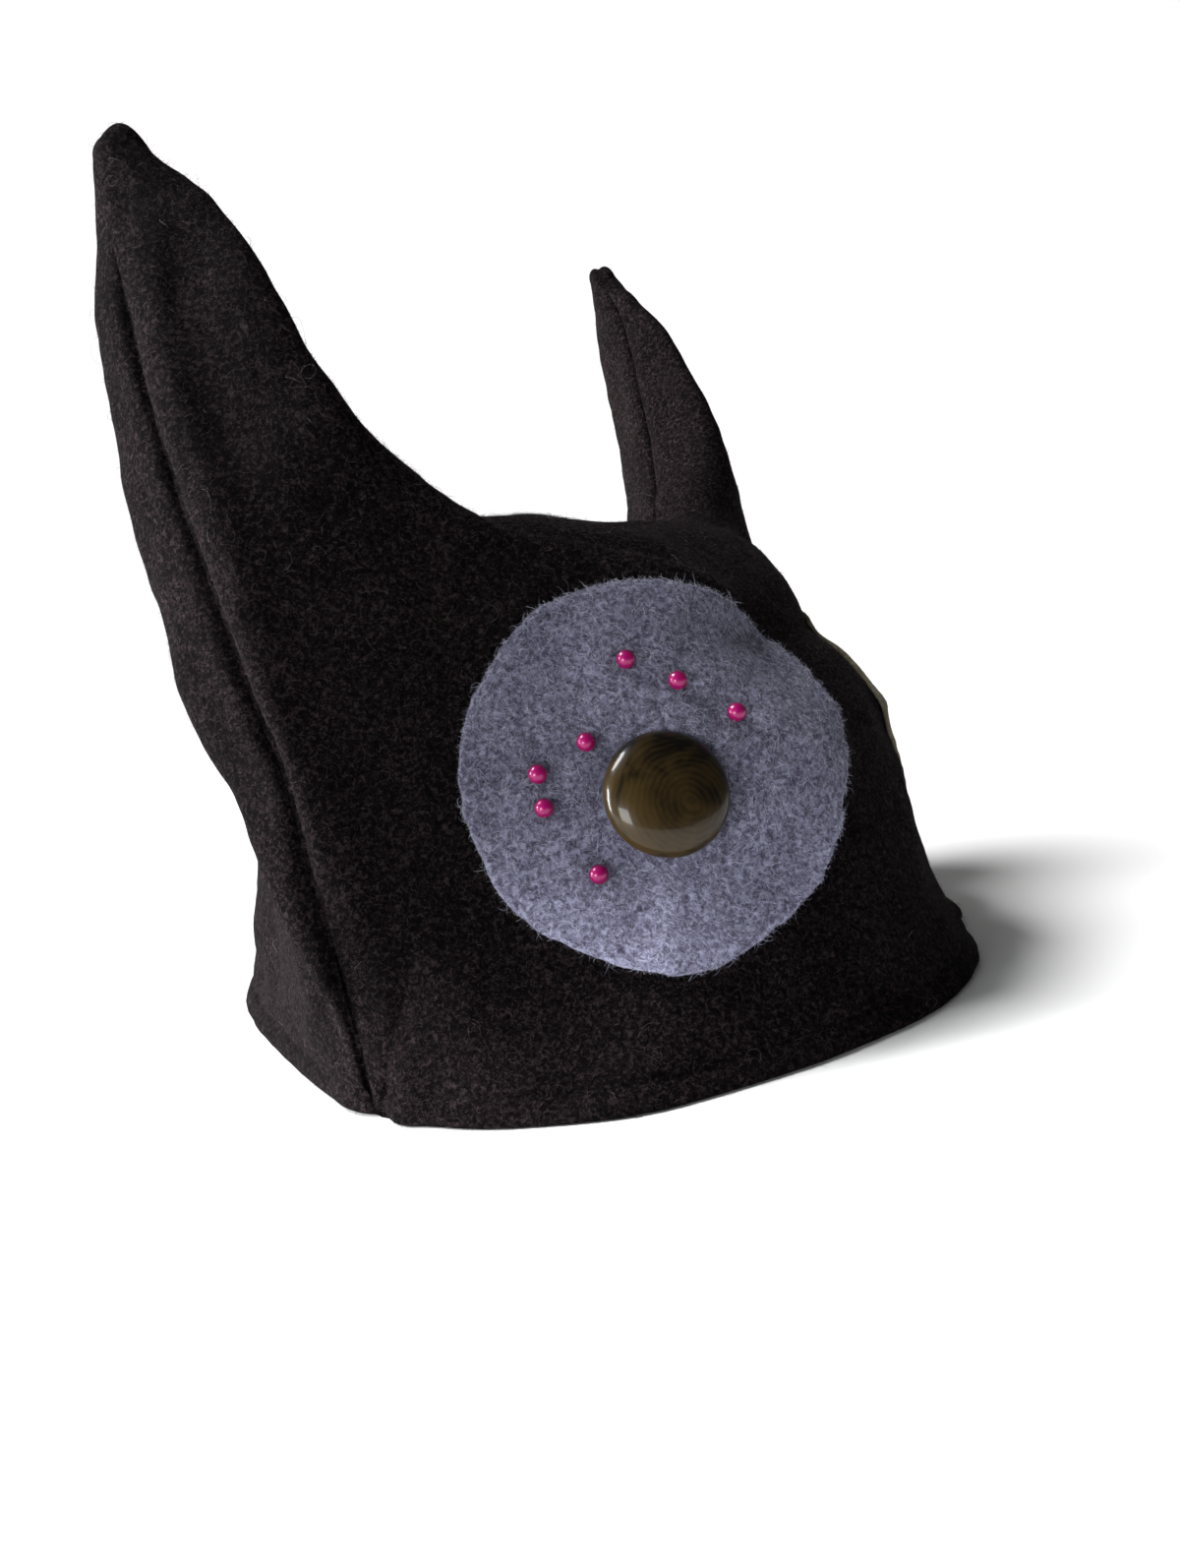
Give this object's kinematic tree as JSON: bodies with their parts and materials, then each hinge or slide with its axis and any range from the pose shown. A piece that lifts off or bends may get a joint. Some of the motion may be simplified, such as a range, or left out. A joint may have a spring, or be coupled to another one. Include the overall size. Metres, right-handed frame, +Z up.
{
  "type": "horned felt hat",
  "caption": "Sewn felt hat with two pointed hollow horns, a pointed front edge and felt-disc eyes with domed buttons and pearl beads.",
  "frame": {"origin": "middle of the hat's outline seen from above, on the plane that the hem rests on", "axes": "+Z up from the hem's plane; -Y towards the pointed front; +X to the wearer's left"},
  "size_m": [0.2, 0.2042, 0.2019],
  "materials": {
    "brown_felt": "napped wool felt",
    "lavender_felt": "napped felt",
    "khaki_felt": "napped felt",
    "olive_button": "polished, marbled",
    "brown_button": "polished",
    "pearl": "pearl lacquer"
  },
  "bodies": {
    "root": {"front_panel": "brown_felt", "back_panel": "brown_felt", "eye_disc_right": "lavender_felt", "eye_disc_left": "khaki_felt", "button_right": "olive_button", "button_left": "brown_button", "bead_right_1": "pearl", "bead_right_2": "pearl", "bead_right_3": "pearl", "bead_right_4": "pearl", "bead_right_5": "pearl", "bead_right_6": "pearl", "bead_right_7": "pearl", "bead_left_1": "pearl", "bead_left_2": "pearl", "bead_left_3": "pearl", "bead_left_4": "pearl", "bead_left_5": "pearl", "bead_left_6": "pearl", "bead_left_7": "pearl"}
  },
  "joints": []
}
